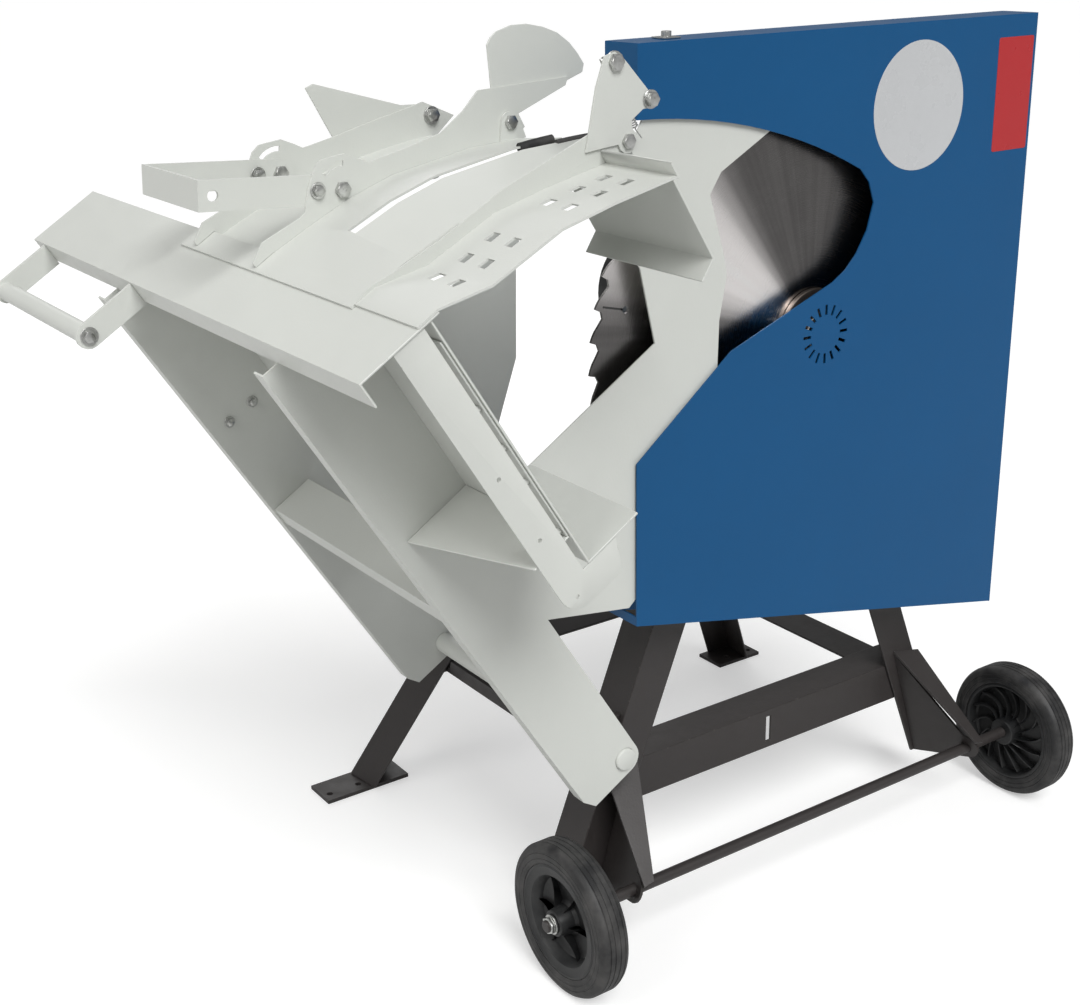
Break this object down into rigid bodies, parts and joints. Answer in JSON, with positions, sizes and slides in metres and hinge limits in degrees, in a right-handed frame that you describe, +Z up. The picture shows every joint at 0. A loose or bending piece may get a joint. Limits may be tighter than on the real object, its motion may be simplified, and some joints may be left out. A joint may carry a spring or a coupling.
{
  "type": "firewood circular saw",
  "caption": "Wheeled firewood saw with a guarded vertical blade in a flat housing and a rocker that swings logs into it",
  "frame": {"origin": "on the floor under the middle of the bounding box", "axes": "+X from the operator to the back of the machine, +Y along the log away from the cover side, +Z up"},
  "size_m": [1.2796, 0.887, 1.1651],
  "materials": {
    "blue_paint": "satin",
    "white_paint": "satin",
    "black_paint": "satin",
    "grey_paint": "satin",
    "steel": "ground",
    "zinc": "zinc plated",
    "tyre": "matte",
    "black_plastic": "matte",
    "green_plastic": "gloss",
    "red_plastic": "gloss"
  },
  "bodies": {
    "base": {"housing_cover": "blue_paint", "housing_back": "blue_paint", "cover_latch": "zinc", "near_left_leg": "black_paint", "near_right_leg": "black_paint", "far_left_leg": "black_paint", "far_right_leg": "black_paint", "near_rail": "black_paint", "far_rail": "black_paint", "left_side_rail": "black_paint", "right_side_rail": "black_paint", "left_foot_plate": "black_paint", "right_foot_plate": "black_paint", "left_axle_bracket": "black_paint", "right_axle_bracket": "black_paint", "wheel_axle": "black_paint", "left_hub_nut": "zinc", "right_hub_nut": "zinc", "motor_plate": "black_paint", "motor_body": "grey_paint", "fan_cowl": "black_plastic", "switch_box": "black_plastic", "power_inlet": "black_plastic", "near_pivot_lug": "black_paint", "far_pivot_lug": "black_paint"},
    "rocker": {"near_rocker_plate": "white_paint", "far_rocker_plate": "white_paint", "pivot_shaft": "white_paint", "shelf": "white_paint", "near_trough": "white_paint", "far_trough": "white_paint", "trough_end_frame": "white_paint", "rocker_gusset": "white_paint", "cross_plate": "white_paint", "wall_stiffener": "white_paint", "rocker_handle": "white_paint", "slot_strip": "white_paint", "near_hinge_pin": "zinc", "far_hinge_pin": "zinc"},
    "near_guard": {"near_guard": "white_paint", "guard_flap": "white_paint", "guard_lever": "white_paint", "lever_top_bolt": "zinc"},
    "log_hood": {"hood_near_side": "white_paint", "hood_far_side": "white_paint", "lift_frame": "white_paint", "near_arm_bolt": "zinc", "far_arm_bolt": "zinc", "fan_plate": "white_paint", "wing_plate": "white_paint"},
    "blade": {"saw_blade": "steel", "outer_flange": "steel", "arbor_nut": "zinc", "arbor_shaft": "steel"},
    "left_wheel": {"left_tyre": "tyre", "left_rim": "black_plastic"},
    "right_wheel": {"right_tyre": "tyre", "right_rim": "black_plastic"},
    "start_button": {"start_button": "green_plastic"},
    "stop_button": {"stop_button": "red_plastic"}
  },
  "joints": [
    {"name": "rocker_swing", "type": "hinge", "parent": "base", "child": "rocker", "pos_m": [-0.1162, -0.2175, 0.271], "axis": [0, 1, 0], "range_deg": [0, 26]},
    {"name": "guard_lift", "type": "hinge", "parent": "rocker", "child": "near_guard", "pos_m": [-0.17818, -0.3275, 1.05856], "axis": [0, 1, 0], "range_deg": [0, 35]},
    {"name": "hood_lift", "type": "hinge", "parent": "rocker", "child": "log_hood", "pos_m": [-0.17818, -0.1075, 1.05856], "axis": [0, 1, 0], "range_deg": [0, 40]},
    {"name": "blade_spin", "type": "hinge", "parent": "base", "child": "blade", "pos_m": [0.20081, -0.2175, 0.775], "axis": [0, 1, 0], "continuous": true},
    {"name": "left_wheel_roll", "type": "hinge", "parent": "base", "child": "left_wheel", "pos_m": [-0.2302, -0.2775, 0.101], "axis": [1, 0, 0], "continuous": true},
    {"name": "right_wheel_roll", "type": "hinge", "parent": "base", "child": "right_wheel", "pos_m": [0.60181, -0.2775, 0.101], "axis": [1, 0, 0], "continuous": true},
    {"name": "start_press", "type": "slide", "parent": "base", "child": "start_button", "axis": [1, 0, 0], "range_m": [-0.003, 0], "stiffness_N_per_m": 300},
    {"name": "stop_press", "type": "slide", "parent": "base", "child": "stop_button", "axis": [1, 0, 0], "range_m": [-0.003, 0], "stiffness_N_per_m": 300}
  ]
}
